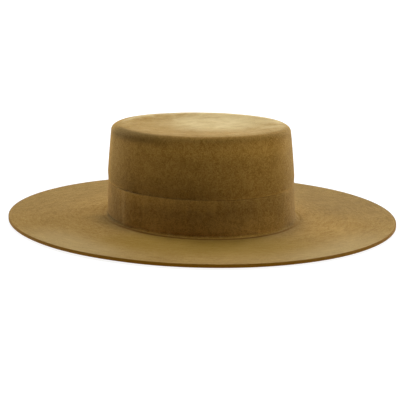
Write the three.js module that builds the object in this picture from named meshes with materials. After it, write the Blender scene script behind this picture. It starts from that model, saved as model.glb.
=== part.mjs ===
// A flat-brimmed gaucho hat of blocked felt with a self-felt band.
// Millimetres, +Z up. The origin is the middle of the brim's underside, which rests on z = 0
// next to the crown.
// The wearer faces -Y, so the hat is longest along Y and the wearer's left is +X.
import * as THREE from "three";

// Felt body
const FELT = 2.8; // wall of the whole body, crown and brim alike
const HEAD_LENGTH = 196.4; // inside the felt at the head opening, front to back
const HEAD_WIDTH = 163.4; // inside the felt at the head opening, side to side
const BRIM_WIDTH = 92.6; // from the foot of the crown to the cut edge, the same all round
const BRIM_FLAT = 30; // width of the level part that the hat rests on, next to the crown
const BRIM_RISE = 1.3; // how far the cut edge is lifted clear of the table
const BRIM_CURVE = 1.5; // 1 lifts the brim in a straight line; more leaves the lift to the edge
const CROWN_HEIGHT = 83.7; // from the top of the brim to the ridge of the crown
const CROWN_TAPER = 5.9; // how far each side leans in over the crown's height
const SIDE_CURVE = 1.68; // 1 is a straight side; more leaves the foot upright and leans the top in
const CREASE_RADIUS = 1.9; // outside, where the brim breaks away from the crown
const TIP_INNER_RADIUS = 2.8; // inside, where the side turns over into the top
const DISH_DEPTH = 2.4; // how far the middle of the top lies below its ridge
const CUT_EASE = 0.5; // softened corners of the brim's cut edge

// Band
const BAND_FELT = 1.2; // a thinner felt than the body
const BAND_HEIGHT = 29.7;
const BAND_LIFT = 0.1; // lower edge of the band above the end of the crease
const BAND_SINK = 2; // how far the band draws the crown in under itself
const SWELL_HEIGHT = 6; // above the band, where the crown comes out again to its full size
const BAND_CLEARANCE = 0.3; // between the band and the crown, and between its two lapped ends
const BAND_LAP = 16; // length of the outer end that lies over the inner end
const BAND_RAMP = 14; // length over which the outer end climbs on to the inner end
const BAND_JOIN_ANGLE = 197; // where the outer end is cut, in degrees from +X towards +Y
const BAND_EASE = 0.3; // softened corners of the strip

// How finely the round shapes are divided
const SEGMENTS = 64; // round the head
const BRIM_STEPS = 3;
const CREASE_STEPS = 4;
const TIP_STEPS = 5;
const SIDE_STEPS = 4;
const SWELL_STEPS = 3;
const COLLAR_STEPS = 3;
const LAP_STEPS = 5;
const BAND_ROWS = 3; // up the band's height

// The dished top. reach is the share of the way from the ridge to the centre of the top,
// drop is the share of DISH_DEPTH by which the felt has sunk there.
const DISH_TABLE = [
  { reach: 0.06, drop: 0.0 },
  { reach: 0.14, drop: 0.14 },
  { reach: 0.24, drop: 0.5 },
  { reach: 0.34, drop: 0.84 },
  { reach: 0.46, drop: 0.98 },
  { reach: 0.72, drop: 1.0 },
];

const FELT_COLOUR = 0x9a7f4e;
const BAND_COLOUR = 0x937848;

// The oval that every ring follows: the outside of the felt where crown and brim meet.
const FOOT_OVAL = {
  x: HEAD_WIDTH / 2 + FELT,
  y: HEAD_LENGTH / 2 + FELT,
};
const BRIM_TOP = FELT; // height of the brim's upper face next to the crown
const CROWN_TOP = BRIM_TOP + CROWN_HEIGHT;
const TIP_RADIUS = TIP_INNER_RADIUS + FELT;
const BAND_LOWER = BRIM_TOP + CREASE_RADIUS + BAND_LIFT;
const BAND_UPPER = BAND_LOWER + BAND_HEIGHT;
const SWELL_LOWER = BAND_UPPER + BAND_CLEARANCE;
const SWELL_UPPER = SWELL_LOWER + SWELL_HEIGHT;

// A point of the ring that runs parallel to the foot oval, out millimetres outside it.
// share draws the ring in towards the crown's axis.
function ovalPoint(angle, out, height, share = 1) {
  const cos = Math.cos(angle);
  const sin = Math.sin(angle);
  const normalLength = Math.hypot(FOOT_OVAL.y * cos, FOOT_OVAL.x * sin);
  const x = FOOT_OVAL.x * cos + (out * FOOT_OVAL.y * cos) / normalLength;
  const y = FOOT_OVAL.y * sin + (out * FOOT_OVAL.x * sin) / normalLength;
  return new THREE.Vector3(x * share, y * share, height);
}

// How far outside the foot oval the crown's outer face lies at a height above the table.
// It is upright at the foot, swells a little over the band and leans in towards the top.
function sideOut(height) {
  const share = Math.max(0, height - BRIM_TOP) / CROWN_HEIGHT;
  const swell = BAND_SINK * THREE.MathUtils.smoothstep(height, SWELL_LOWER, SWELL_UPPER);
  return swell - CROWN_TAPER * share ** SIDE_CURVE;
}

// The angle by which the side leans in at a height.
function sideLean(height) {
  const step = 0.1;
  return Math.atan((sideOut(height - step) - sideOut(height + step)) / (2 * step));
}

// A place on the felt's outer face: out from the foot oval, the height, the share of the
// ring's size that is left there, and the outward direction as { out, up }.
function place(out, height, share, normal) {
  return { out, height, share, normal };
}

function evenly(from, to, steps) {
  return Array.from({ length: steps }, (_, step) => from + ((to - from) * step) / steps);
}

// How far the brim is lifted at a distance out from the foot oval.
function brimRise(out) {
  const share = (out - BRIM_FLAT) / (BRIM_WIDTH - BRIM_FLAT);
  return BRIM_RISE * Math.max(0, share) ** BRIM_CURVE;
}

// The outer face from the dished top over the tip, down the side and out on to the brim.
function outerFace() {
  const tipCentreHeight = CROWN_TOP - TIP_RADIUS;
  const lean = sideLean(tipCentreHeight);
  const tipFoot = tipCentreHeight + TIP_RADIUS * Math.sin(lean);
  const tipCentreOut = sideOut(tipFoot) - TIP_RADIUS * Math.cos(lean);
  const up = { out: 0, up: 1 };
  const dish = DISH_TABLE.map(({ reach, drop }) =>
    place(tipCentreOut, CROWN_TOP - drop * DISH_DEPTH, 1 - reach, up),
  ).reverse();
  const tip = evenly(Math.PI / 2, lean, TIP_STEPS).map((angle) => {
    const normal = { out: Math.cos(angle), up: Math.sin(angle) };
    const out = tipCentreOut + TIP_RADIUS * normal.out;
    return place(out, tipCentreHeight + TIP_RADIUS * normal.up, 1, normal);
  });
  const creaseTop = BRIM_TOP + CREASE_RADIUS;
  const side = [
    ...evenly(tipFoot, SWELL_UPPER, SIDE_STEPS),
    ...evenly(SWELL_UPPER, SWELL_LOWER, SWELL_STEPS),
    ...evenly(SWELL_LOWER, creaseTop, COLLAR_STEPS),
  ].map((height) => {
    const angle = sideLean(height);
    return place(sideOut(height), height, 1, { out: Math.cos(angle), up: Math.sin(angle) });
  });
  const crease = [...evenly(0, Math.PI / 2, CREASE_STEPS), Math.PI / 2].map((angle) => {
    const normal = { out: Math.cos(angle), up: Math.sin(angle) };
    const out = sideOut(creaseTop) + CREASE_RADIUS * (1 - normal.out);
    return place(out, creaseTop - CREASE_RADIUS * normal.up, 1, normal);
  });
  const brim = evenly(BRIM_FLAT, BRIM_WIDTH, BRIM_STEPS).map((out) =>
    place(out, BRIM_TOP + brimRise(out), 1, up),
  );
  return [...dish, ...tip, ...side, ...crease, ...brim];
}

// The inner face lies one felt under the outer one, straight in from each of its places.
function innerFace(outer) {
  return outer.map(({ out, height, share, normal }) =>
    place(out - FELT * normal.out, height - FELT * normal.up, share, normal),
  );
}

// The brim's cut edge, from its upper corner down to its lower one.
function cutEdge() {
  const lower = brimRise(BRIM_WIDTH);
  const upper = lower + FELT;
  return [
    { out: BRIM_WIDTH - CUT_EASE, height: upper, share: 1 },
    { out: BRIM_WIDTH, height: upper - CUT_EASE, share: 1 },
    { out: BRIM_WIDTH, height: lower + CUT_EASE, share: 1 },
    { out: BRIM_WIDTH - CUT_EASE, height: lower, share: 1 },
  ];
}

function closedGeometry(points, faces) {
  const geometry = new THREE.BufferGeometry().setFromPoints(points);
  geometry.setIndex(faces);
  geometry.computeVertexNormals();
  return geometry;
}

// The outer face, the cut edge and the inner face as one skin of rings between two poles.
function hatBodyGeometry() {
  const outer = outerFace();
  const rings = [...outer, ...cutEdge(), ...innerFace(outer).reverse()];
  const topCentre = CROWN_TOP - DISH_DEPTH;
  const points = [new THREE.Vector3(0, 0, topCentre)];
  for (const { out, height, share } of rings) {
    for (let i = 0; i < SEGMENTS; i++) {
      points.push(ovalPoint((2 * Math.PI * i) / SEGMENTS, out, height, share));
    }
  }
  points.push(new THREE.Vector3(0, 0, topCentre - FELT));
  const at = (ring, i) => 1 + ring * SEGMENTS + (i % SEGMENTS);
  const lastRing = rings.length - 1;
  const faces = [];
  for (let i = 0; i < SEGMENTS; i++) {
    faces.push(0, at(0, i), at(0, i + 1));
    for (let ring = 0; ring < lastRing; ring++) {
      faces.push(at(ring, i), at(ring + 1, i), at(ring + 1, i + 1));
      faces.push(at(ring, i), at(ring + 1, i + 1), at(ring, i + 1));
    }
    faces.push(at(lastRing, i), points.length - 1, at(lastRing, i + 1));
  }
  return closedGeometry(points, faces);
}

// Cross-section of the strip as corners of a softened rectangle, anticlockwise from its
// lower outer corner: depth is measured from its outer face, rise from its lower edge.
// Both faces have a corner at each row, so that they follow the curve of the crown's side.
function bandSection() {
  const rows = evenly(0, BAND_HEIGHT, BAND_ROWS).slice(1);
  return [
    { depth: 0, rise: BAND_EASE },
    ...rows.map((rise) => ({ depth: 0, rise })),
    { depth: 0, rise: BAND_HEIGHT - BAND_EASE },
    { depth: BAND_EASE, rise: BAND_HEIGHT },
    { depth: BAND_FELT, rise: BAND_HEIGHT },
    ...rows.reverse().map((rise) => ({ depth: BAND_FELT, rise })),
    { depth: BAND_FELT, rise: 0 },
    { depth: BAND_EASE, rise: 0 },
  ];
}

// Angles at which the strip has a section, from its outer end once round the crown to its
// inner end, and how far the outer end is lifted there to clear the inner one.
function bandStations() {
  const girth = Math.PI * (FOOT_OVAL.x + FOOT_OVAL.y);
  const radiansPerMillimetre = (2 * Math.PI) / girth;
  const lap = BAND_LAP * radiansPerMillimetre;
  const ramp = BAND_RAMP * radiansPerMillimetre;
  const rampEnd = lap + ramp;
  const end = 2 * Math.PI + lap;
  const stations = [];
  const addRun = (from, to, steps) => {
    for (let step = 0; step < steps; step++) {
      stations.push(from + ((to - from) * step) / steps);
    }
  };
  addRun(0, lap, 2);
  addRun(lap, rampEnd, LAP_STEPS);
  addRun(rampEnd, 2 * Math.PI - ramp, SEGMENTS - 2 * LAP_STEPS);
  addRun(2 * Math.PI - ramp, end, LAP_STEPS);
  stations.push(end);
  const start = THREE.MathUtils.degToRad(BAND_JOIN_ANGLE);
  const lift = BAND_FELT + BAND_CLEARANCE;
  return stations.map((turned) => ({
    angle: start + turned,
    lift: lift * (1 - THREE.MathUtils.smoothstep(turned, lap, rampEnd)),
  }));
}

// The strip that lies round the foot of the crown, following its lean.
function bandGeometry() {
  const section = bandSection();
  const stations = bandStations();
  const points = [];
  for (const { angle, lift } of stations) {
    for (const { depth, rise } of section) {
      const height = BAND_LOWER + rise;
      const overCrown = BAND_CLEARANCE + BAND_FELT + lift - depth;
      points.push(ovalPoint(angle, sideOut(height) + overCrown, height));
    }
  }
  const corners = section.length;
  const at = (station, corner) => station * corners + (corner % corners);
  const last = stations.length - 1;
  const faces = [];
  for (let corner = 0; corner < corners; corner++) {
    for (let station = 0; station < last; station++) {
      faces.push(at(station, corner), at(station + 1, corner), at(station + 1, corner + 1));
      faces.push(at(station, corner), at(station + 1, corner + 1), at(station, corner + 1));
    }
  }
  for (let corner = 1; corner < corners - 1; corner++) {
    faces.push(at(0, 0), at(0, corner), at(0, corner + 1));
    faces.push(at(last, 0), at(last, corner + 1), at(last, corner));
  }
  return closedGeometry(points, faces);
}

function feltMaterial(colour) {
  return new THREE.MeshStandardMaterial({ color: colour, roughness: 0.95, metalness: 0 });
}

function feltPiece(name, geometry, colour) {
  const piece = new THREE.Mesh(geometry, feltMaterial(colour));
  piece.name = name;
  return piece;
}

const hat = new THREE.Group();
hat.add(feltPiece("hat_body", hatBodyGeometry(), FELT_COLOUR));
hat.add(feltPiece("band", bandGeometry(), BAND_COLOUR));

export default hat;
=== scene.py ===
"""A gaucho hat of brushed felt with a self-felt band, on a pale studio floor."""

import math

import bpy
from bpy.props import FloatProperty, FloatVectorProperty, PointerProperty
from bpy.types import Operator, Panel, PropertyGroup
from mathutils import Matrix, Vector, noise


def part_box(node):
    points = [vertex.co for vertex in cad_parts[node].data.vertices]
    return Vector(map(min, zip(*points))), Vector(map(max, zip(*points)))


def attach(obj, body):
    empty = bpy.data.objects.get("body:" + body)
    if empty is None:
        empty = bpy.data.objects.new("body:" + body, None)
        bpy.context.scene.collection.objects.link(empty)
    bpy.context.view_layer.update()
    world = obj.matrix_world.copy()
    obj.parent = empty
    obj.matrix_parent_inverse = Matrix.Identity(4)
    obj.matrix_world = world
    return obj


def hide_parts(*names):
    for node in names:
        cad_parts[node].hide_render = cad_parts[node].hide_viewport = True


bl_info = {
    "name": "Gaucho Hat",
    "version": (1, 0, 0),
    "blender": (4, 5, 0),
    "location": "View3D > Sidebar > Hat",
    "description": "Makes a flat-brimmed felt hat with a felt band, and a plain stage for it",
    "category": "Add Mesh",
}

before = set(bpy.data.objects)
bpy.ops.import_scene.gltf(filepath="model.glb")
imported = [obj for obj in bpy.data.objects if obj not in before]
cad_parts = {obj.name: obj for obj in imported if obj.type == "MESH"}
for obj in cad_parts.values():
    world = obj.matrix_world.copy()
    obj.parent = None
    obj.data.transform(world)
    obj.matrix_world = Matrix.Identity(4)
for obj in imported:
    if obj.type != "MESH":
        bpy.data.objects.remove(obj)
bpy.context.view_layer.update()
BODY_HIGH = Vector(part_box("hat_body")[1])
BAND_LOW, BAND_HIGH = (Vector(corner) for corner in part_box("band"))

MM = 0.001
TURN = 2 * math.pi

# Where the crown's bulge begins and is full, as cosines of the way from its middle
BULGE_SPREAD = (0.7, 0.98)

# The same for the shade at the band's cut outer end
JOIN_SPREAD = (0.99992, 0.99998)

# Shares of the way from the middle of the top between which the dish falls away
DISH_SPREAD = (0.05, 0.48)

# Nearest ring to the middle of the top, as a share of the way in
DISH_MIDDLE = 0.99

# Shares of the brim's outer reach between which its waves and its side lift come in
LIFT_SPREAD = (0.6, 1.0)

# Shares of the ledge under the band at which it has a ring
LEDGE_RINGS = (0.3, 0.8)

# How steeply the brim's rise grows towards its edge; 1 is even
RISE_CURVE = 1.5

# Size of the crown's wide and near unevenness, and where in the noise the near one is read
WIDE_WAVER = 60 * MM
NEAR_WAVER = 24 * MM
NEAR_WAVER_PLACE = Vector((7.0, 3.0, 5.0))

# Share of the near unevenness on the crown's side and on its top, and where the top's comes in
NEAR_ON_SIDE = 0.4
NEAR_ON_TOP = 0.5
TOP_SPREAD = (0.85, 1.0)

# Waves of the band's upper edge in each radian, and where in the noise they are read
EDGE_WAVES = 4
EDGE_WAVES_PLACE = 1.7

# Corners that turn by more than this stay sharp
SHARP_CORNER = math.radians(50)

# Share of the band's thickness that is left at its pared outer end
SKIVED_SHARE = 0.12

# Directions level with the brim: the side that the photo shows, so that of its camera too,
# square to that towards the wearer's left, and the right temple
SHOWN_SIDE = Vector((-0.276, -0.961))
SHOWN_ACROSS = Vector((0.961, -0.276))
RIGHT_TEMPLE = Vector((-0.966, -0.259))

# The light patch on the top, partly laid nap and partly painted sheen, in millimetres: its
# middle and its half width, across and towards the front
NAP_MIDDLE = Vector((9, -14))
NAP_REACH = Vector((38, 50))

# How the top lightens from one side to the other: across and towards the back, partly laid nap
# and partly painted sheen
NAP_SLOPE = Vector((0.8, 0.9))

# How fine the brushed streaks and the band's stripes are round the hat and across
STREAK_GRAIN = (11, 0.36)
STRIPE_GRAIN = (24, 0.05)

# Half width of a fibre in the curls' noise, and the share of the felt that fibres cover
FIBRE_WIDTH = 0.04
FIBRE_COVER = 0.16

# How finely the meshes are divided
BODY_SEGMENTS = 240
BAND_SEGMENTS = 300
SKIVE_STEPS = 6
DISH_STEPS = 26
TIP_STEPS = 8
SIDE_STEPS = 18
SWELL_STEPS = 8
LIP_STEPS = 3
COLLAR_STEPS = 6
CREASE_STEPS = 6
BREAK_STEPS = 6
BRIM_STEPS = 24
ROUNDING_STEPS = 4
BAND_FACE_STEPS = 10
BAND_BACK_STEPS = 4
SWEEP_STEPS = 16


def length(name, description, millimetres):
    """A size property, written in millimetres and kept in metres."""
    return FloatProperty(
        name=name,
        description=description,
        default=millimetres * MM,
        subtype="DISTANCE",
        unit="LENGTH",
        precision=5,
    )


def angle(name, description, degrees):
    """An angle property, written in degrees and kept in radians."""
    return FloatProperty(
        name=name,
        description=description,
        default=math.radians(degrees),
        subtype="ANGLE",
        unit="ROTATION",
    )


def share(name, description, default):
    """A plain factor."""
    return FloatProperty(name=name, description=description, default=default, subtype="FACTOR")


def colour(name, description, default):
    """A colour property, as scene linear values."""
    return FloatVectorProperty(
        name=name,
        description=description,
        default=default,
        size=3,
        min=0.0,
        max=1.0,
        subtype="COLOR",
    )


class HatSizes(PropertyGroup):
    """Sizes of the felt body and the band. The overall size comes from the frame."""

    felt: length("Felt", "Thickness of the body's felt", 2.8)
    brim_width: length("Brim width", "From the foot of the crown to the cut edge", 92.6)
    brim_flat: length("Level brim", "Width of the level part of the brim by the crown", 30)
    brim_rise: length("Brim rise", "How far the cut edge is lifted clear of the floor", 0.8)
    brim_wave: length("Brim wave", "How far the brim's edge wanders up and down", 0.3)
    side_lift: length("Side lift", "How far the brim's edge rises more at the wearer's sides", 0.8)
    crown_taper: length("Crown taper", "How far each side leans in over its height", 5.9)
    side_curve: FloatProperty(
        name="Side curve",
        description="1 is a straight side; more leaves the foot upright",
        default=1.68,
    )
    crease_radius: length("Crease radius", "Where the brim breaks away from the crown", 1.9)
    foot_ledge: length("Foot ledge", "How far the foot stands out under the band", 1.1)
    break_depth: length("Break depth", "Depth of the line pressed where the brim begins", 0.5)
    break_width: length("Break width", "Width of that line", 4.5)
    tip_height: length("Tip height", "Height over which the side turns into the top", 5.2)
    tip_reach: length("Tip reach", "How far in that turn reaches", 6.6)
    dish_depth: length("Dish depth", "How far the middle of the top lies below its ridge", 2.4)
    edge_radius: length("Edge radius", "Softened corners of the brim's cut edge", 0.45)
    lean: length("Crown lean", "How far the top stands to the wearer's right", 1.38)
    tilt: length("Top tilt", "How far the top rises at the wearer's left", 0.7)
    nod: length("Top nod", "How far the top rises at the front and falls at the back", 1.2)
    lift: length("Top lift", "How far the whole top rises", 0.8)
    waver: length("Waver", "Unevenness of the hand-blocked crown", 0.35)

    band_felt: length("Band felt", "Thickness of the band", 1.2)
    band_gap: length("Band gap", "Between the crown and the band that is glued to it", 0.08)
    band_sink: length("Band sink", "How far the band draws the crown in", 2.0)
    swell_height: length("Swell height", "Over which the crown comes out above the band", 0.45)
    groove_height: length("Groove height", "The same where the crown bulges most over the band", 9.0)
    groove_place: angle("Groove place", "Middle of the bulge, from +X towards +Y", 228)
    band_lap: length("Band lap", "Length of the outer end that lies over the inner end", 16)
    band_ramp: length("Band ramp", "Length over which the outer end climbs", 14)
    band_skive: length("Band skive", "Length over which the outer end is pared thin", 9)
    band_join: angle("Band join", "Where the outer end is cut, from +X towards +Y", 197)
    band_edge: length("Band edge", "Softened corners of the band", 0.25)
    band_wander: length("Band wander", "Unevenness of the band's cut upper edge", 0.25)


class HatColours(PropertyGroup):
    """Colours of the felt, as scene linear values."""

    felt_light: colour("Light felt", "Raised and brushed fibres", (0.345, 0.204, 0.048))
    felt_dark: colour("Dark felt", "Hollows between the fibres", (0.197, 0.098, 0.012))
    # Painted shade: a deeper, warmer light felt for the crown's shown side, which lies in shade
    side_shade_tint: colour("Light side", "Raised fibres of the crown's side", (0.352, 0.194, 0.041))
    # Partly laid nap and partly painted sheen on the top; painted light at the brim's front edge
    pale_nap_and_sheen: colour("Brushed top", "Nap laid flat on the top", (0.62, 0.50, 0.26))
    # Painted shade: the brown at the cut edge and in the crease
    shade_brown: colour("Raw edge", "Felt at the cut edge and in the crease", (0.235, 0.092, 0.0))
    # Painted shade: the deeper colour of the brim before the crown, which lies in its shade
    front_brim_shade: colour("Brim front", "Deeper felt of the brim before the crown", (0.271, 0.148, 0.0))
    band_light: colour("Light band", "Raised fibres of the band", (0.345, 0.193, 0.045))
    band_dark: colour("Dark band", "Hollows between the band's fibres", (0.19, 0.098, 0.014))
    sheen: colour("Sheen", "Light caught by the loose fibres", (1.0, 0.755, 0.36))
    floor: colour("Floor", "The pale floor", (0.2, 0.2, 0.2))


class FeltNap(PropertyGroup):
    """The nap: how large its patterns are, and how strongly each shows in the colour."""

    streaks: share("Streaks", "How strongly the brushed streaks show", 1.2)
    streak_fade: share("Streak fade", "How much weaker they are on the crown", 0.9)
    swirl: share("Swirls", "How strongly the crown's swirls show", 0.5)
    swirl_size: length("Swirl size", "Size of the swirls", 15)
    mottle: share("Mottling", "How strongly the lighter and darker clouds show", 0.5)
    mottle_size: length("Mottling size", "Size of the clouds", 26)
    clumps: share("Clumps", "How strongly the clumps of fibres show", 0.8)
    clump_size: length("Clump size", "Size of the clumps", 4.5)
    fibres: share("Fibres", "How strongly single fibres of the crown show", 0.5)
    curl_size: length("Curl size", "Size of the curls that the fibres follow", 5)
    grain: share("Grain", "How strongly the fine grain shows", 2.4)
    grain_size: length("Grain size", "Size of the fine grain", 0.8)
    relief: length("Relief", "Height of the grain and the clumps", 0.225)
    streak_relief: share("Streak relief", "Height of the streaks against that", 0.7)

    # The pale top is partly laid nap and partly painted sheen; along the back ridge it is painted
    # sheen
    top_nap: share("Top nap", "Share of the light nap on the whole top", 0.1)
    top_middle: share("Top middle", "More of it in the light patch", 0.32)
    top_slope: share("Top slope", "More of it towards the back and the wearer's left", 0.3)
    top_patches: share("Top patches", "How unevenly it lies", 0.75)
    back_ridge_sheen: share("Back ridge", "More of it along the ridge at the back", 0.5)
    clump_patches: share("Clump patches", "How far its patches follow the clumps", 0.3)
    swirl_patches: share("Swirl patches", "How far its patches follow the swirls", 1.3)
    middle_outline: share("Middle outline", "How ragged the light patch is", 0.6)
    slope_outline: share("Slope outline", "How ragged the lightening of the top is", 0.5)
    turn_swirl: length("Turn by swirls", "How far swirls shift the line where the top ends", 9)
    turn_clumps: length("Turn by clumps", "How far clumps shift that line", 6)
    turn_temple: length("Turn by temple", "How far in it lies by the right temple", 3)

    # Painted light: the pale colour along the brim's front edge
    margin: share("Margin", "Share of the light nap along the brim's front edge", 0.04)
    edge_light_beside: share("Margin beside", "How much more it is left and right of the front", 0.2)

    roughness: share("Roughness", "How rough the felt is", 0.9)
    uneven_roughness: share("Uneven roughness", "How much that changes with the grain", 0.16)
    shine: share("Shine", "How much the fibres shine", 0.03)
    sheen: share("Sheen", "How much light the loose fibres catch", 0.24)
    sheen_spread: share("Sheen spread", "How widely they scatter it", 0.42)


class FeltTones(PropertyGroup):
    """Lighter and darker places of the felt, matched to the photo and fixed to the hat.

    Nearly all are painted light and painted shade; only the band's stripes are the felt's own.
    """

    # Painted light just over the band's front; painted shade where the bulge turns in over it
    by_band: share("Over the band", "Lighter just over the band's front", 0.45)
    tucked_shade: share("Tucked in", "Darker where the bulge turns in over the band", 0.36)
    # Painted shade on the bulge
    bulge: share("Bulge foot", "Darker on the lower part of the bulge", 0.2)
    bulge_side: share("Bulge side", "Darker on the whole bulge", 0.06)
    # Painted light over the band's upper edge, filling the shade of its seam as loose fibres would
    seam_light: share("Fuzz", "Lighter where loose fibres cover the band's upper edge", 0.17)
    # Painted shade round the shoulder, more by the right temple
    shoulder: share("Shoulder", "Darker round the shoulder", 0.09)
    temple_shoulder: share("Temple shoulder", "More of it by the right temple", 0.34)
    # Painted light under the front of the shoulder
    below_shoulder_light: share("Rubbed side", "Lighter under the front of the shoulder", 0.2)
    # Painted light on both sides of the crown
    sides: share("Crown's sides", "Lighter on both sides of the crown", 0.24)

    # Painted light in the turn before the crown, and painted shade in it all round
    fillet: share("Foot front", "Lighter in the turn before the crown", 0.97)
    fillet_back: share("Foot back", "Darker in the turn all round", 0.14)
    # Painted shade: the brown and the darkening in the pressed line
    crease: share("Crease", "Share of the raw colour in the pressed line", 0.75)
    crease_dark: share("Crease shade", "Darker in the pressed line", 0.1)
    # Painted light on the brim before the crown
    near_foot: share("Near the foot", "Lighter on the brim before the crown", 0.16)
    # Painted shade: share of the deeper colour before the crown
    front_brim_shade: share("Brim front", "Share of the deeper colour before the crown", 0.5)
    # Painted shade behind the crown, more at the wearer's left
    far_brim: share("Back brim", "Darker behind the crown", 0.13)
    far_left: share("Back left brim", "More of it at the wearer's left", 0.07)
    # Painted shade beside the foot at the wearer's right
    hollow: share("Hollow", "Darker beside the foot at the wearer's right", 0.24)
    # Painted light at the wearer's left
    left_brim: share("Left brim", "Lighter at the wearer's left", 0.15)
    # Painted shade at the cut edge
    shade_brown: share("Raw edge", "Share of the raw colour at the cut edge", 0.85)
    edge_shade_dark: share("Raw edge shade", "Darker at the cut edge", 0.2)

    # Painted light low on the band's front and under the bulge
    band_foot: share("Band foot", "Lighter low on the band's front", 0.45)
    band_bulge: share("Band under bulge", "Lighter under the bulge", 0.22)
    # Painted light on the band's right side
    band_side_light: share("Band side", "Lighter on the band's right side", 0.3)
    stripes: share("Stripes", "How strongly the band's upright stripes show", 0.45)
    # Painted shade at the band's cut outer end
    cut_end: share("Cut end", "Darker at the band's cut outer end", 0.25)


class StageSizes(PropertyGroup):
    """The camera, and where the hat stands before it."""

    azimuth: angle("Azimuth", "Camera's way round from the front", -16)
    elevation: angle("Elevation", "Camera's height above the floor as an angle", 12.19)
    roll: angle("Roll", "Camera's turn about its own line of sight", 0.594)
    distance: length("Distance", "From the camera to the brim's middle", 1083)
    aim_height: length("Aim height", "Height of the point that the camera is aimed at", 1.4)
    lens: FloatProperty(name="Lens", description="Focal length in millimetres", default=104.26)
    shift_x: FloatProperty(name="Shift X", description="Sideways lens shift", default=-0.0018)
    shift_y: FloatProperty(name="Shift Y", description="Upward lens shift", default=0.0373)
    floor_reach: length("Floor", "How far the floor runs to each side and to the front", 20000)
    backdrop_reach: length("Backdrop reach", "How far the backdrop runs to each side", 5200)
    floor_depth: length("Floor depth", "How far the floor runs behind the hat", 1560)
    sweep_radius: length("Sweep", "Radius over which the floor turns up into the backdrop", 870)
    backdrop_height: length("Backdrop", "Height of the backdrop", 3800)


class Value:
    """An output socket that takes part in sums, so that shader maths reads as Python."""

    def __init__(self, shader, socket):
        self.shader = shader
        self.socket = socket

    def _math(self, operation, *terms):
        return self.shader.node("ShaderNodeMath", {"operation": operation}, dict(enumerate(terms)))

    def __add__(self, other):
        return self._math("ADD", self, other)

    def __sub__(self, other):
        return self._math("SUBTRACT", self, other)

    def __rsub__(self, other):
        return self._math("SUBTRACT", other, self)

    def __mul__(self, other):
        return self._math("MULTIPLY", self, other)

    def __truediv__(self, other):
        return self._math("DIVIDE", self, other)

    def __pow__(self, other):
        return self._math("POWER", self, other)

    __radd__ = __add__
    __rmul__ = __mul__

    def ease(self, start, end):
        """0 below start, 1 above end, and a soft step between; it falls where end is less."""
        if end < start:
            return 1 - self.ease(end, start)
        return self.shader.node(
            "ShaderNodeMapRange",
            {"interpolation_type": "SMOOTHSTEP"},
            {"Value": self, "From Min": start, "From Max": end},
        )


class Shader:
    """The node tree of one material."""

    def __init__(self, name):
        self.material = bpy.data.materials.new(name)
        self.material.use_nodes = True
        self.tree = self.material.node_tree
        self.surface = self.tree.nodes["Principled BSDF"]

    def node(self, kind, settings=None, sockets=None, output=0):
        """Adds a node: its settings first, then the values or links of its sockets."""
        node = self.tree.nodes.new(kind)
        for name, value in (settings or {}).items():
            setattr(node, name, value)
        self.fill(node, sockets or {})
        return Value(self, node.outputs[output])

    def fill(self, node, sockets):
        for key, value in sockets.items():
            socket = node.inputs[key]
            if isinstance(value, Value):
                self.tree.links.new(value.socket, socket)
            else:
                socket.default_value = value

    def finish(self, sockets):
        self.fill(self.surface, sockets)
        return self.material

    def mix(self, factor, first, second):
        """A colour between two colours."""
        sockets = {0: factor, 6: self.rgba(first), 7: self.rgba(second)}
        return self.node("ShaderNodeMix", {"data_type": "RGBA"}, sockets, output=2)

    def scale(self, colour_value, factor):
        """A colour made lighter or darker by a factor."""
        settings = {"operation": "SCALE"}
        return self.node("ShaderNodeVectorMath", settings, {0: colour_value, "Scale": factor})

    @staticmethod
    def rgba(value):
        return value if isinstance(value, Value) else (*value, 1.0)

    def millimetres(self):
        """The place on the piece, in millimetres."""
        place = self.node("ShaderNodeTexCoord", output="Object")
        settings = {"operation": "SCALE"}
        return self.node("ShaderNodeVectorMath", settings, {0: place, "Scale": 1 / MM})

    def split(self, vector):
        node = self.node("ShaderNodeSeparateXYZ", {}, {0: vector}).socket.node
        return [Value(self, output) for output in node.outputs]

    def join(self, x, y, z):
        return self.node("ShaderNodeCombineXYZ", {}, {"X": x, "Y": y, "Z": z})

    def noise(self, vector, spacing, detail=2.0, roughness=0.5, distortion=0.0):
        """Soft noise from 0 to 1 with features about spacing apart."""
        sockets = {
            "Vector": vector,
            "Scale": 1 / spacing,
            "Detail": detail,
            "Roughness": roughness,
            "Distortion": distortion,
        }
        return self.node("ShaderNodeTexNoise", {}, sockets)

    def bump(self, height, distance, strength=1.0):
        sockets = {"Height": height, "Distance": distance, "Strength": strength}
        return self.node("ShaderNodeBump", {}, sockets)


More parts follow.
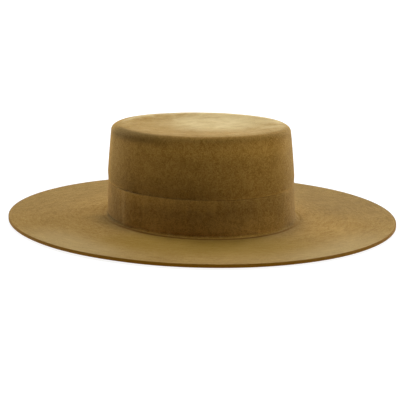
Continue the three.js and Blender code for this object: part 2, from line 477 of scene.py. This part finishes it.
class FeltForm:
    """The shape of the blocked felt: rings of parallel ovals, each at its own height."""

    def __init__(self, sizes):
        self.sizes = sizes
        self.foot_x = BODY_HIGH.x - sizes.brim_width
        self.foot_y = BODY_HIGH.y - sizes.brim_width
        self.girth = math.pi * (self.foot_x + self.foot_y)
        self.brim_top = sizes.felt
        self.crown_top = BODY_HIGH.z
        self.crown_height = self.crown_top - self.brim_top
        self.swell_low = BAND_HIGH.z
        self.swell_high = self.swell_low + sizes.groove_height
        self.inner_low = self.swell_low - sizes.groove_height
        self.inner_high = self.swell_low + 2 * sizes.groove_height

    def taper(self, height):
        """How far outside the foot oval the side would lie without the band's squeeze."""
        up = max(0.0, height - self.brim_top) / self.crown_height
        return -self.sizes.crown_taper * up**self.sizes.side_curve

    def groove(self, turned):
        """1 where the crown bulges most over the band, 0 where it comes out at once."""
        return ease(math.cos(turned - self.sizes.groove_place), *BULGE_SPREAD)

    def side_out(self, height, turned=None):
        """How far outside the foot oval the crown's outer face lies."""
        sizes = self.sizes
        wide = 1.0 if turned is None else self.groove(turned)
        flush = (sizes.band_felt + sizes.band_gap) / sizes.band_sink
        near = ease(height, self.swell_low, self.swell_low + sizes.swell_height)
        far = ease(height, self.swell_low, self.swell_high)
        swell = far + (1 - wide) * flush * (near - far)
        return self.taper(height) + sizes.band_sink * swell

    def lining_out(self, height):
        """The same for the inner face, which the band's squeeze reaches more softly."""
        swell = ease(height, self.inner_low, self.inner_high)
        return self.taper(height) + self.sizes.band_sink * swell - self.sizes.felt

    def side_lean(self, height):
        """How far the side leans in at a height, as an angle from upright."""
        step = 0.1 * MM
        run = self.taper(height - step) - self.taper(height + step)
        return math.atan(run / (2 * step))

    def brim_rise(self, out):
        """How far the brim is lifted at a distance out from the foot oval."""
        sizes = self.sizes
        along = (out - sizes.brim_flat) / (sizes.brim_width - sizes.brim_flat)
        return sizes.brim_rise * max(0.0, along) ** RISE_CURVE

    def oval(self, turned, out, height, left=1.0):
        """A point out from the foot oval; left draws the ring in towards the axis."""
        cos = math.cos(turned)
        sin = math.sin(turned)
        normal = math.hypot(self.foot_y * cos, self.foot_x * sin)
        x = self.foot_x * cos + out * self.foot_y * cos / normal
        y = self.foot_y * sin + out * self.foot_x * sin / normal
        return Vector((x * left, y * left, height))

    def top_face(self, depth=0.0):
        """Places from the middle of the top to where the side begins, at a depth in the felt."""
        sizes = self.sizes
        tip_height = self.crown_top - sizes.tip_height
        lean = self.side_lean(tip_height)
        tip_foot = tip_height + sizes.tip_height * math.sin(lean)
        tip_out = self.side_out(tip_foot) - sizes.tip_reach * math.cos(lean)
        places = []
        for reach in evenly(DISH_MIDDLE, 0.0, DISH_STEPS):
            drop = sizes.dish_depth * ease(reach, *DISH_SPREAD)
            places.append((tip_out, self.crown_top - drop - depth, 1 - reach))
        for turned in evenly(math.pi / 2, lean, TIP_STEPS):
            out = tip_out + (sizes.tip_reach - depth) * math.cos(turned)
            height = tip_height + (sizes.tip_height - depth) * math.sin(turned)
            places.append((out, height, 1.0))
        return places, tip_foot

    def outer_rings(self):
        """Rings of the outer face, as functions of the way round, down to the brim's edge."""
        sizes = self.sizes
        places, tip_foot = self.top_face()
        rings = [self.level_ring(*place) for place in places]
        crease_top = self.brim_top + sizes.crease_radius
        near_top = self.swell_low + sizes.swell_height
        sides = [
            *evenly(tip_foot, self.swell_high, SIDE_STEPS),
            *evenly(self.swell_high, near_top, SWELL_STEPS),
            *evenly(near_top, self.swell_low, LIP_STEPS),
            *evenly(self.swell_low, crease_top, COLLAR_STEPS),
        ]
        rings += [self.side_ring(height) for height in sides]
        ledge = sizes.foot_ledge
        rings += [self.level_ring(ledge * reach, crease_top) for reach in LEDGE_RINGS]
        foot = ledge + sizes.crease_radius
        for turned in evenly(0.0, math.pi / 2, CREASE_STEPS):
            out = foot - sizes.crease_radius * math.cos(turned)
            height = crease_top - sizes.crease_radius * math.sin(turned)
            rings.append(self.level_ring(out, height))
        break_end = foot + sizes.break_width
        for out in evenly(foot, break_end, BREAK_STEPS):
            along = (out - foot) / sizes.break_width
            dip = sizes.break_depth * math.sin(math.pi * along) ** 2
            rings.append(self.level_ring(out, self.brim_top - dip))
        for out in evenly(break_end, sizes.brim_width - sizes.edge_radius, BRIM_STEPS):
            rings.append(self.level_ring(out, self.brim_top + self.brim_rise(out)))
        return rings

    def inner_rings(self):
        """Rings of the inner face, from the brim's edge up to the middle of the top."""
        sizes = self.sizes
        places, _ = self.top_face(sizes.felt)
        bend = sizes.crease_radius + sizes.felt
        rings = []
        foot = self.taper(self.brim_top + sizes.crease_radius) + sizes.crease_radius
        edge = sizes.brim_width - sizes.edge_radius
        for out in evenly(edge, foot, BRIM_STEPS // 3):
            rings.append(self.level_ring(out, self.brim_rise(out)))
        for turned in evenly(math.pi / 2, 0.0, CREASE_STEPS):
            out = foot - bend * math.cos(turned)
            rings.append(self.level_ring(out, bend * (1 - math.sin(turned))))
        for height in evenly(bend, places[-1][1], SIDE_STEPS):
            rings.append(self.level_ring(self.lining_out(height), height))
        rings += [self.level_ring(*place) for place in reversed(places)]
        return rings

    def level_ring(self, out, height, left=1.0):
        return lambda turned: self.oval(turned, out, height, left)

    def side_ring(self, height):
        return lambda turned: self.oval(turned, self.side_out(height, turned), height)

    def cut_edge(self):
        """The brim's raw edge, from its upper corner round to its lower one."""
        sizes = self.sizes
        radius = sizes.edge_radius
        lower = self.brim_rise(sizes.brim_width)
        upper = lower + sizes.felt
        inner = sizes.brim_width - radius
        places = []
        for turned in evenly(math.pi / 2, 0.0, ROUNDING_STEPS, whole=True):
            rise = radius * math.sin(turned)
            places.append((inner + radius * math.cos(turned), upper - radius + rise))
        for turned in evenly(0.0, -math.pi / 2, ROUNDING_STEPS, whole=True):
            rise = radius * math.sin(turned)
            places.append((inner + radius * math.cos(turned), lower + radius + rise))
        return [self.level_ring(*place) for place in places]

    def settle(self, point):
        """Moves a point as the hand-blocked hat has it: a slight lean, tilt and waver."""
        sizes = self.sizes
        up = min(1.0, max(0.0, point.z - self.brim_top) / self.crown_height)
        moved = point.copy()
        moved.x -= sizes.lean * up
        slope = sizes.tilt * point.x / self.foot_x - sizes.nod * point.y / self.foot_y
        moved.z += up * (sizes.lift + slope)
        wide = noise.noise(point / WIDE_WAVER)
        near = noise.noise(point / NEAR_WAVER + NEAR_WAVER_PLACE)
        flat = Vector((point.x, point.y, 0.0))
        outward = flat.normalized() if flat.length > MM else Vector((0.0, 0.0, 0.0))
        grip = ease(point.z, self.brim_top, self.swell_high)
        moved += outward * sizes.waver * grip * (wide + NEAR_ON_SIDE * near)
        moved.z += sizes.waver * ease(up, *TOP_SPREAD) * (wide + NEAR_ON_TOP * near)
        radius = flat.length / math.hypot(BODY_HIGH.x, BODY_HIGH.y) * math.sqrt(2)
        sideways = outward.x * outward.x
        rise = sizes.brim_wave * (1 + wide) / 2 + sizes.side_lift * sideways
        moved.z += rise * ease(radius, *LIFT_SPREAD)
        return moved


def ease(value, start, end):
    """0 at start, 1 at end, and a soft step between."""
    along = min(1.0, max(0.0, (value - start) / (end - start)))
    return along * along * (3 - 2 * along)


def pointing(turned):
    """The direction at an angle from +X towards +Y."""
    return Vector((math.cos(turned), math.sin(turned)))


def evenly(start, end, steps, whole=False):
    """Even steps from start; the end itself is left out unless whole is set."""
    count = steps + 1 if whole else steps
    return [start + (end - start) * step / steps for step in range(count)]


def add_piece(name, points, faces, material):
    """A smooth-shaded mesh object that rides on the hat."""
    mesh = bpy.data.meshes.new(name)
    mesh.from_pydata([tuple(point) for point in points], [], faces)
    mesh.validate()
    mesh.shade_smooth()
    mesh.set_sharp_from_angle(angle=SHARP_CORNER)
    mesh.materials.append(material)
    piece = bpy.data.objects.new(name, mesh)
    bpy.context.scene.collection.objects.link(piece)
    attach(piece, "root")
    return piece


def felt_body_mesh(form):
    """Points and faces of the whole felt body, from the top's middle round to its inside."""
    middle = form.crown_top - form.sizes.dish_depth
    rings = form.outer_rings() + form.cut_edge() + form.inner_rings()
    points = [form.settle(Vector((0, 0, middle)))]
    for ring in rings:
        for step in range(BODY_SEGMENTS):
            points.append(form.settle(ring(TURN * step / BODY_SEGMENTS)))
    points.append(form.settle(Vector((0, 0, middle - form.sizes.felt))))

    def at(ring, step):
        return 1 + ring * BODY_SEGMENTS + step % BODY_SEGMENTS

    last = len(rings) - 1
    faces = []
    for step in range(BODY_SEGMENTS):
        faces.append((0, at(0, step), at(0, step + 1)))
        for ring in range(last):
            corners = (at(ring, step), at(ring + 1, step))
            faces.append((*corners, at(ring + 1, step + 1), at(ring, step + 1)))
        faces.append((at(last, step), len(points) - 1, at(last, step + 1)))
    return points, faces


def band_section(sizes, height):
    """The strip's softened cross-section: depth from its outer face, rise from its foot."""
    radius = sizes.band_edge
    section = []
    for turned in evenly(-math.pi / 2, 0.0, ROUNDING_STEPS, whole=True):
        section.append((radius * (1 - math.cos(turned)), radius * (1 + math.sin(turned))))
    for rise in evenly(radius, height - radius, BAND_FACE_STEPS)[1:]:
        section.append((0.0, rise))
    for turned in evenly(0.0, math.pi / 2, ROUNDING_STEPS, whole=True):
        depth = radius * (1 - math.cos(turned))
        section.append((depth, height - radius * (1 - math.sin(turned))))
    section.append((sizes.band_felt, height))
    for rise in evenly(height, 0.0, BAND_BACK_STEPS)[1:]:
        section.append((sizes.band_felt, rise))
    section.append((sizes.band_felt, 0.0))
    return section


def band_mesh(form):
    """Points and faces of the strip, from its outer end once round to its inner end."""
    sizes = form.sizes
    lap = sizes.band_lap * TURN / form.girth
    ramp_end = lap + sizes.band_ramp * TURN / form.girth
    strip_height = BAND_HIGH.z - BAND_LOW.z
    section = band_section(sizes, strip_height)
    skive_end = sizes.band_skive * TURN / form.girth
    stations = evenly(0.0, skive_end, SKIVE_STEPS)
    stations += evenly(skive_end, TURN + lap, BAND_SEGMENTS, whole=True)
    points = []
    for turned in stations:
        lift = (sizes.band_felt + sizes.band_gap) * (1 - ease(turned, lap, ramp_end))
        thick = SKIVED_SHARE + (1 - SKIVED_SHARE) * ease(turned, 0.0, skive_end)
        round_place = sizes.band_join + turned
        wave = Vector((EDGE_WAVES * turned, EDGE_WAVES_PLACE, 0.0))
        wander = sizes.band_wander * noise.noise(wave)
        for depth, rise in section:
            height = BAND_LOW.z + rise
            out = form.taper(height) + sizes.band_gap + lift + (sizes.band_felt - depth) * thick
            height += wander * (rise / strip_height) ** 2
            points.append(form.settle(form.oval(round_place, out, height)))
    corners = len(section)

    def at(station, corner):
        return station * corners + corner % corners

    faces = []
    last = len(stations) - 1
    for station in range(last):
        for corner in range(corners):
            pair = (at(station, corner), at(station + 1, corner))
            faces.append((*pair, at(station + 1, corner + 1), at(station, corner + 1)))
    faces.append(tuple(at(0, corner) for corner in range(corners)))
    faces.append(tuple(at(last, corner) for corner in reversed(range(corners))))
    return points, faces


class FeltPattern:
    """Where a point lies on the felt, and the noises that every felt shares.

    high, out and edge are in millimetres. front, left and temple are 1 on that side of the
    hat, 0 square to it and -1 opposite, and front is the side that the photo shows. The
    noises are even about 0.
    """

    def __init__(self, shader, sizes, nap):
        form = FeltForm(sizes)
        place = shader.millimetres()
        self.nap = nap
        self.x, self.y, self.high = shader.split(place)
        # The 1 keeps the middle of the top from being divided by nothing
        self.radius = (self.x * self.x + self.y * self.y + 1) ** 0.5
        self.left = self.x / self.radius
        self.back = self.y / self.radius

        self.front = self.way(SHOWN_SIDE)
        self.temple = self.way(RIGHT_TEMPLE)
        self.bulge = self.way(pointing(sizes.groove_place)).ease(*BULGE_SPREAD)
        self.out = self.past_oval(form.foot_x, form.foot_y)
        self.edge = self.past_oval(BODY_HIGH.x, BODY_HIGH.y)
        self.upright = self.high.ease(6, 12)
        self.on_crown = self.high.ease(20, 21)
        self.on_brim = self.high.ease(9, 6)
        self.above_band = self.high - BAND_HIGH.z / MM
        self.below_top = BODY_HIGH.z / MM - self.high
        self.facing = self.front.ease(0.2, 0.75)
        self.towards_front = self.front.ease(-0.1, 0.6)

        def nap_noise(size, detail=3.0, roughness=0.6, distortion=0.0):
            return shader.noise(place, size / MM, detail, roughness, distortion) - 0.5

        streaked = self.brushed(shader, STREAK_GRAIN, self.radius - self.high)
        striped = self.brushed(shader, STRIPE_GRAIN, self.high)
        self.streaks = shader.noise(streaked, 1.0, 3.0, 0.6, distortion=0.4) - 0.5
        self.stripes = shader.noise(striped, 1.0, 2.0, 0.6) - 0.5
        self.swirl = nap_noise(nap.swirl_size, detail=4.0, distortion=0.5)
        self.mottle = nap_noise(nap.mottle_size, roughness=0.55)
        self.clumps = nap_noise(nap.clump_size, distortion=0.6)
        self.grain = nap_noise(nap.grain_size, roughness=0.65)
        curls = nap_noise(nap.curl_size, detail=2.5, distortion=1.6)
        self.fibres = (curls * curls).ease(FIBRE_WIDTH**2, 0.0) - FIBRE_COVER

    def way(self, direction):
        """1 on that side of the hat, 0 square to it and -1 opposite."""
        return (self.x * direction.x + self.y * direction.y) / self.radius

    def past_oval(self, reach_x, reach_y):
        """How far outside an oval about the hat's axis; inside it is less than 0."""
        shape = reach_y / reach_x
        return ((self.x * shape) ** 2 + self.y * self.y) ** 0.5 - reach_y / MM

    def brushed(self, shader, grain, across):
        """Places drawn out along the way round, so that noise on them makes streaks."""
        fine_round, fine_across = grain
        return shader.join(self.left * fine_round, self.back * fine_round, across * fine_across)

    def tone(self):
        """From 0 in the hollows to 1 on the raised fibres."""
        nap = self.nap
        tone = 0.5 + self.streaks * (nap.streaks - self.upright * nap.streak_fade)
        tone = tone + self.mottle * nap.mottle + self.swirl * self.upright * nap.swirl
        tone = tone + self.clumps * nap.clumps + self.fibres * self.upright * nap.fibres
        return (tone + self.grain * nap.grain).ease(0.0, 1.0)


def finish_felt(shader, base_colour, felt, colours):
    """The felt's own surface: rough, with a low relief and a soft sheen."""
    nap = felt.nap
    relief = felt.grain + felt.clumps + felt.streaks * nap.streak_relief
    return shader.finish({
        "Base Color": base_colour,
        "Roughness": nap.roughness + felt.grain * nap.uneven_roughness,
        "Normal": shader.bump(relief, nap.relief),
        "Specular IOR Level": nap.shine,
        "Sheen Weight": nap.sheen,
        "Sheen Roughness": nap.sheen_spread,
        "Sheen Tint": (*colours.sheen, 1.0),
    })


def nap_and_sheen_on_top(felt):
    """Share of nap and painted sheen on the crown's top: most by its middle and on its back ridge.
    """
    nap = felt.nap
    turn_over = felt.out + felt.swirl * (nap.turn_swirl / MM) + felt.clumps * (nap.turn_clumps / MM)
    turn_over = turn_over + felt.temple.ease(0.5, 0.95) * (nap.turn_temple / MM)
    on_top = felt.below_top.ease(8, 2) * turn_over.ease(-6.5, -14)
    across = felt.x * SHOWN_ACROSS.x + felt.y * SHOWN_ACROSS.y
    along = felt.x * SHOWN_SIDE.x + felt.y * SHOWN_SIDE.y
    across = (across - NAP_MIDDLE.x) / NAP_REACH.x
    along = (NAP_MIDDLE.y - along) / NAP_REACH.y
    patches = felt.clumps * nap.clump_patches + felt.swirl * nap.swirl_patches
    reach = (across * across + along * along) ** 0.5 + patches * nap.middle_outline
    slope = across * NAP_SLOPE.x + along * NAP_SLOPE.y + patches * nap.slope_outline
    back_ridge_sheen = felt.out.ease(-22, -12) * felt.front.ease(0.2, -0.8)
    laid = nap.top_nap + patches * nap.top_patches + back_ridge_sheen * nap.back_ridge_sheen
    laid = laid + reach.ease(1.45, 0.6) * nap.top_middle + slope.ease(-1.6, 1.4) * nap.top_slope
    return on_top * laid.ease(-0.1, 1.1)


def brim_edge_light(felt):
    """Share of painted light, in the pale top colour, towards the brim's front edge."""
    beside = felt.front.ease(1.0, 0.85) * felt.nap.edge_light_beside
    outer = felt.out.ease(42, 88) * felt.front.ease(0.3, 0.75) * felt.on_brim
    return (felt.nap.margin + beside) * outer


def crown_shade(felt, tones):
    """How much lighter the crown's side and shoulder are than plain felt: painted light and shade.
    """
    # Painted light just over the band's front, painted shade where the bulge turns in
    by_band = felt.towards_front * tones.by_band - felt.bulge * tones.tucked_shade
    by_band = by_band * felt.above_band.ease(3.2, 0.6) * felt.on_crown
    # Painted shade on the bulge
    bulge = felt.above_band.ease(24, 3) * felt.on_crown * tones.bulge
    bulge = felt.bulge * (bulge + felt.upright * tones.bulge_side)
    # Painted light over the band's upper edge, filling the shade of the seam
    seam_light = felt.above_band.ease(1.8, 0.9) * felt.on_crown * felt.towards_front
    seam_light = seam_light * (1 - felt.bulge) * tones.seam_light
    # Painted shade round the shoulder
    shoulder = felt.below_top.ease(11, 4) * felt.out.ease(-15, -7)
    by_temple = felt.temple.ease(0.6, 0.98)
    shoulder = shoulder * (tones.shoulder + by_temple * tones.temple_shoulder)
    # Painted light under the front of the shoulder
    below_shoulder_light = felt.below_top.ease(22.5, 9.5) * felt.below_top.ease(0.0, 5.5)
    below_shoulder_light = below_shoulder_light * felt.front.ease(0.2, 0.8) * (1 - by_temple) * tones.below_shoulder_light
    # Painted light on both sides of the crown
    sides = felt.front.ease(0.4, 0.1) * felt.front.ease(-0.6, -0.1) * felt.upright
    sides = sides * felt.out.ease(-14, -7) * (1 + felt.temple.ease(0.3, 0.9)) * tones.sides
    return by_band + seam_light + below_shoulder_light + sides - bulge - shoulder


def brim_shade(felt, tones):
    """How much lighter the brim is than plain felt: painted light and shade."""
    # Painted light in the turn before the crown, painted shade in it all round
    fillet = felt.out.ease(0.5, 1.2) * felt.out.ease(3.2, 2.6)
    fillet = fillet * (felt.front.ease(0.5, 0.9) * tones.fillet - tones.fillet_back)
    # Painted light on the brim before the crown
    near_foot = felt.out.ease(5, 9) * felt.out.ease(45, 18) * felt.facing * tones.near_foot
    # Painted shade behind the crown
    far = tones.far_brim * (1 + felt.out.ease(15, 60)) + felt.left * tones.far_left
    far = far * felt.out.ease(6, 30) * felt.front.ease(0.5, -0.35)
    # Painted shade beside the foot
    hollow = felt.out.ease(38, 10) * felt.front.ease(0.02, 0.2) * felt.front.ease(0.75, 0.4)
    hollow = hollow * felt.left.ease(-0.3, -0.8) * tones.hollow
    # Painted light at the wearer's left
    left = felt.left.ease(0.25, 0.8) * felt.front.ease(-0.1, 0.35)
    left = left * felt.out.ease(10, 40) * felt.out.ease(88, 60) * tones.left_brim
    return (fillet + near_foot - far - hollow + left) * felt.on_brim


def body_felt_material(scene):
    """Brushed felt: painted shade on the shown side and raw edge; nap and painted sheen on top."""
    shader = Shader("body_felt")
    colours = scene.hat_colours
    tones = scene.hat_tones
    felt = FeltPattern(shader, scene.hat_sizes, scene.hat_nap)
    # Painted shade: the crown's shown side takes a deeper, warmer light felt
    shaded_side = felt.upright * felt.front.ease(0.2, 0.85)
    raised = shader.mix(shaded_side, colours.felt_light, colours.side_shade_tint)
    base = shader.mix(felt.tone(), colours.felt_dark, raised)
    # The top's pale colour: partly laid nap, partly painted sheen
    base = shader.mix(nap_and_sheen_on_top(felt), base, colours.pale_nap_and_sheen)
    # Painted light along the brim's front edge
    base = shader.mix(brim_edge_light(felt), base, colours.pale_nap_and_sheen)
    # Painted shade: the deeper colour of the brim before the crown
    before_crown = felt.out.ease(5, 9) * felt.out.ease(90, 40) * felt.on_brim
    before_crown = before_crown * felt.front.ease(0.7, 0.95) * tones.front_brim_shade
    base = shader.mix(before_crown, base, colours.front_brim_shade)
    # Painted shade at the cut edge and in the pressed line of the crease
    raw = felt.edge.ease(-1.2, -0.4)
    crease = felt.out.ease(2.9, 3.8) * felt.out.ease(9.0, 5.6) * felt.on_brim
    crease = crease * felt.facing
    base = shader.mix(raw * tones.shade_brown + crease * tones.crease, base, colours.shade_brown)
    shade = 1 + crown_shade(felt, tones) + brim_shade(felt, tones)
    shade = shade - raw * tones.edge_shade_dark - crease * tones.crease_dark
    return finish_felt(shader, shader.scale(base, shade), felt, colours)


def band_felt_material(scene):
    """The same felt as a strip, with faint upright stripes and painted light and shade."""
    shader = Shader("band_felt")
    colours = scene.hat_colours
    tones = scene.hat_tones
    felt = FeltPattern(shader, scene.hat_sizes, scene.hat_nap)
    base = shader.mix(felt.tone(), colours.band_dark, colours.band_light)
    # Painted light low on the band's front and under the bulge
    low_front = (felt.high.ease(26, 8) + felt.high.ease(12, 5)) * felt.front.ease(0.5, 0.95)
    under_bulge = felt.bulge * felt.high.ease(20, 32)
    # Painted light on the band's right side
    side = felt.front.ease(0.5, 0.1) * felt.front.ease(-0.6, -0.1) * felt.temple.ease(0.3, 0.9)
    # Painted light over the band's upper edge, filling the shade of the seam
    seam_light = felt.above_band.ease(-0.6, -0.1) * felt.towards_front * (1 - felt.bulge)
    # Painted shade at the band's cut outer end
    cut_end = felt.way(pointing(scene.hat_sizes.band_join)).ease(*JOIN_SPREAD)
    shade = 1 + low_front * tones.band_foot + under_bulge * tones.band_bulge
    shade = shade + felt.stripes * tones.stripes + side * tones.band_side_light + seam_light * tones.seam_light
    shade = shade - cut_end * tones.cut_end
    return finish_felt(shader, shader.scale(base, shade), felt, colours)


def stage_material(name, colours, glow):
    """A plain surface of the stage that also gives off its own light."""
    shader = Shader(name)
    return shader.finish({
        "Base Color": (*colours.floor, 1.0),
        "Roughness": 0.9,
        "Emission Color": (1.0, 1.0, 1.0, 1.0),
        "Emission Strength": glow,
    })


class HAT_OT_felt_body(Operator):
    """Make the crown and brim as one hollow felt body"""

    bl_idname = "hat.felt_body"
    bl_label = "Felt Body"

    def execute(self, context):
        points, faces = felt_body_mesh(FeltForm(context.scene.hat_sizes))
        material = body_felt_material(context.scene)
        piece = add_piece("felt_body", points, faces, material)
        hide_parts("hat_body")
        return {"FINISHED"}


class HAT_OT_felt_band(Operator):
    """Make the felt band with its lapped ends"""

    bl_idname = "hat.felt_band"
    bl_label = "Felt Band"

    def execute(self, context):
        sizes = context.scene.hat_sizes
        form = FeltForm(sizes)
        points, faces = band_mesh(form)
        material = band_felt_material(context.scene)
        piece = add_piece("felt_band", points, faces, material)
        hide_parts("band")
        return {"FINISHED"}


# Softboxes of the stage: name, degrees round from straight behind the hat towards the
# picture's right, degrees above the floor, width and height in metres, power in watts.
SOFTBOXES = [
    ("overhead", 0, 88, 0.6, 0.6, 6.0),
    ("back_high", -8, 70, 0.45, 0.4, 5.7),
    ("back", 0, 50, 0.45, 0.4, 3.8),
    ("left_low", -46, 9, 0.45, 0.35, 6.4),
    ("left_side", -105, 30, 0.45, 0.4, 1.7),
    ("right_low", 38, 9, 0.45, 0.35, 11.0),
    ("right_low_side", 75, 10, 0.45, 0.35, 3.3),
    ("right_side", 110, 30, 0.45, 0.4, 4.1),
]
SOFTBOX_DISTANCE = 1.35
SOFTBOX_COLOUR = (0.91, 0.94, 1.0)
SOFTBOX_AIM = Vector((0.0, 0.0, 0.04))
ROOM_LIGHT = 0.0
FLOOR_GLOW = 0.86
BACKDROP_GLOW = 1.0
SENSOR_WIDTH = 36.0


def aimed(position, target, roll=0.0):
    """A placing at position whose -Z looks at target, turned by roll about its sight."""
    forward = (target - position).normalized()
    right = forward.cross(Vector((0, 0, 1))).normalized()
    up = right.cross(forward)
    across = right * math.cos(roll) + up * math.sin(roll)
    upward = up * math.cos(roll) - right * math.sin(roll)
    axes = Matrix((across, upward, -forward)).transposed().to_4x4()
    return Matrix.Translation(position) @ axes


def add_softbox(stage, name, azimuth, elevation, width, height, power):
    turned = stage.azimuth - math.radians(azimuth)
    level = SOFTBOX_DISTANCE * math.cos(math.radians(elevation))
    rise = SOFTBOX_DISTANCE * math.sin(math.radians(elevation))
    across = Vector((-level * math.sin(turned), level * math.cos(turned), rise))
    light = bpy.data.lights.new(name, "AREA")
    light.shape = "RECTANGLE"
    light.size = width
    light.size_y = height
    light.energy = power
    light.color = SOFTBOX_COLOUR
    lamp = bpy.data.objects.new(name, light)
    lamp.matrix_world = aimed(SOFTBOX_AIM + across, SOFTBOX_AIM)
    bpy.context.scene.collection.objects.link(lamp)


def add_sheet(name, points, faces, material):
    """A plain sheet of the stage, which is no part of the hat."""
    mesh = bpy.data.meshes.new(name)
    mesh.from_pydata(points, [], faces)
    mesh.shade_smooth()
    mesh.materials.append(material)
    sheet = bpy.data.objects.new(name, mesh)
    bpy.context.scene.collection.objects.link(sheet)


def add_floor(stage, colours):
    reach = stage.floor_reach
    back = stage.floor_depth
    corners = [(-reach, -reach, 0), (reach, -reach, 0), (reach, back, 0), (-reach, back, 0)]
    add_sheet("floor", corners, [(0, 1, 2, 3)], stage_material("floor", colours, FLOOR_GLOW))
    radius = stage.sweep_radius
    profile = [
        (back + radius * math.sin(turned), radius * (1 - math.cos(turned)))
        for turned in evenly(0.0, math.pi / 2, SWEEP_STEPS, whole=True)
    ]
    profile.append((back + radius, stage.backdrop_height))
    side = stage.backdrop_reach
    points = [(x, y, z) for y, z in profile for x in (-side, side)]
    faces = [
        (2 * step, 2 * step + 1, 2 * step + 3, 2 * step + 2) for step in range(len(profile) - 1)
    ]
    add_sheet("backdrop", points, faces, stage_material("backdrop", colours, BACKDROP_GLOW))


def add_camera(stage):
    level = stage.distance * math.cos(stage.elevation)
    target = Vector((0.0, 0.0, stage.aim_height))
    position = target + Vector((
        level * math.sin(stage.azimuth),
        -level * math.cos(stage.azimuth),
        stage.distance * math.sin(stage.elevation),
    ))
    lens = bpy.data.cameras.new("camera")
    lens.lens = stage.lens
    lens.sensor_width = SENSOR_WIDTH
    lens.shift_x = stage.shift_x
    lens.shift_y = stage.shift_y
    camera = bpy.data.objects.new("camera", lens)
    camera.matrix_world = aimed(position, target, stage.roll)
    bpy.context.scene.collection.objects.link(camera)
    bpy.context.scene.camera = camera


class HAT_OT_stage(Operator):
    """Set the floor, the soft lights and the camera"""

    bl_idname = "hat.stage"
    bl_label = "Stage"

    def execute(self, context):
        scene = context.scene
        add_floor(scene.hat_stage, scene.hat_colours)
        for softbox in SOFTBOXES:
            add_softbox(scene.hat_stage, *softbox)
        room = bpy.data.worlds.new("room")
        room.use_nodes = True
        background = room.node_tree.nodes["Background"]
        background.inputs["Color"].default_value = (1.0, 1.0, 1.0, 1.0)
        background.inputs["Strength"].default_value = ROOM_LIGHT
        scene.world = room
        scene.view_settings.view_transform = "Standard"
        add_camera(scene.hat_stage)
        return {"FINISHED"}


class HAT_PT_maker(Panel):
    """Sizes, colours and the buttons that make each piece"""

    bl_idname = "HAT_PT_maker"
    bl_label = "Gaucho Hat"
    bl_space_type = "VIEW_3D"
    bl_region_type = "UI"
    bl_category = "Hat"

    def draw(self, context):
        layout = self.layout
        for operator in (HAT_OT_felt_body, HAT_OT_felt_band, HAT_OT_stage):
            layout.operator(operator.bl_idname)
        scene = context.scene
        for group in (
            scene.hat_sizes,
            scene.hat_colours,
            scene.hat_nap,
            scene.hat_tones,
            scene.hat_stage,
        ):
            box = layout.box()
            for name in group.__annotations__:
                box.prop(group, name)


CLASSES = (
    HatSizes,
    HatColours,
    FeltNap,
    FeltTones,
    StageSizes,
    HAT_OT_felt_body,
    HAT_OT_felt_band,
    HAT_OT_stage,
    HAT_PT_maker,
)


def register():
    for cls in CLASSES:
        bpy.utils.register_class(cls)
    bpy.types.Scene.hat_sizes = PointerProperty(type=HatSizes)
    bpy.types.Scene.hat_colours = PointerProperty(type=HatColours)
    bpy.types.Scene.hat_nap = PointerProperty(type=FeltNap)
    bpy.types.Scene.hat_tones = PointerProperty(type=FeltTones)
    bpy.types.Scene.hat_stage = PointerProperty(type=StageSizes)


def unregister():
    del bpy.types.Scene.hat_stage
    del bpy.types.Scene.hat_tones
    del bpy.types.Scene.hat_nap
    del bpy.types.Scene.hat_colours
    del bpy.types.Scene.hat_sizes
    for cls in reversed(CLASSES):
        bpy.utils.unregister_class(cls)


def main():
    register()
    bpy.ops.hat.stage()
    bpy.ops.hat.felt_body()
    bpy.ops.hat.felt_band()


if __name__ == "__main__":
    main()
